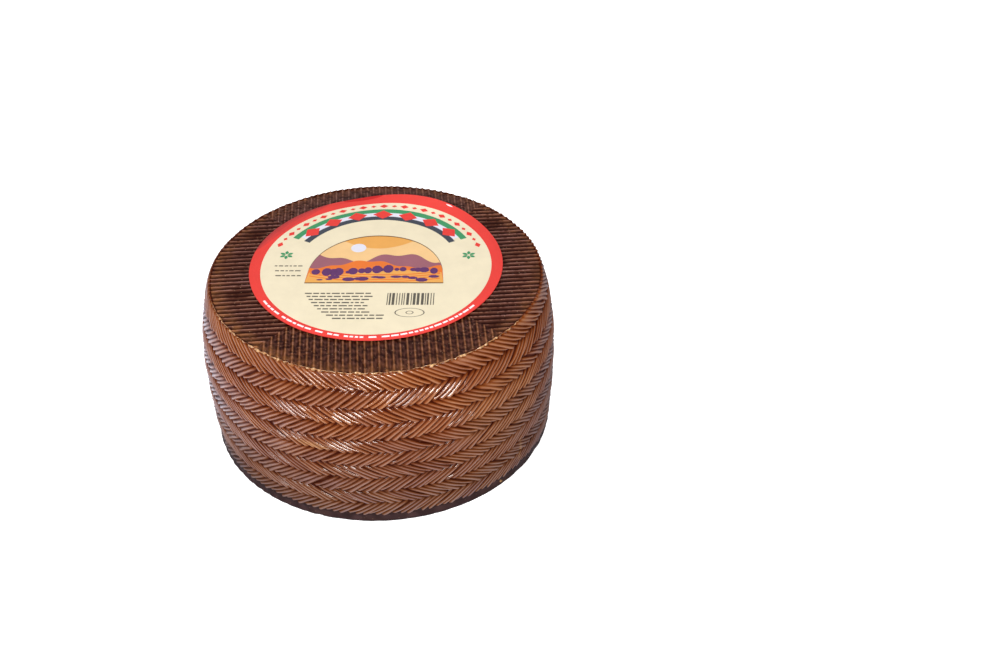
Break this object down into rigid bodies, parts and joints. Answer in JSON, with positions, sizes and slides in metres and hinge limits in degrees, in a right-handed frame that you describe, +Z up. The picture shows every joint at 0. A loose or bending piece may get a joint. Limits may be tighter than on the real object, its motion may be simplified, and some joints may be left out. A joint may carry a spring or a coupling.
{
  "type": "sheep milk cheese wheel",
  "caption": "Whole cured sheep milk cheese wheel: barrel-shaped side with a pressed plait of slanted strands, ridged top face, glossy brown rind and a round paper label.",
  "frame": {"origin": "centre of the flat base that the wheel stands on", "axes": "+Z up through the wheel's axis, -Y towards the front of the label, +X to its right"},
  "size_m": [0.1953, 0.1941, 0.1004],
  "materials": {
    "rind": "glossy food coating over a brown plait-pressed rind",
    "label_paper": "satin printed paper, cream with a red ring"
  },
  "bodies": {
    "root": {"cheese_wheel": "rind", "label": "label_paper"}
  },
  "joints": []
}
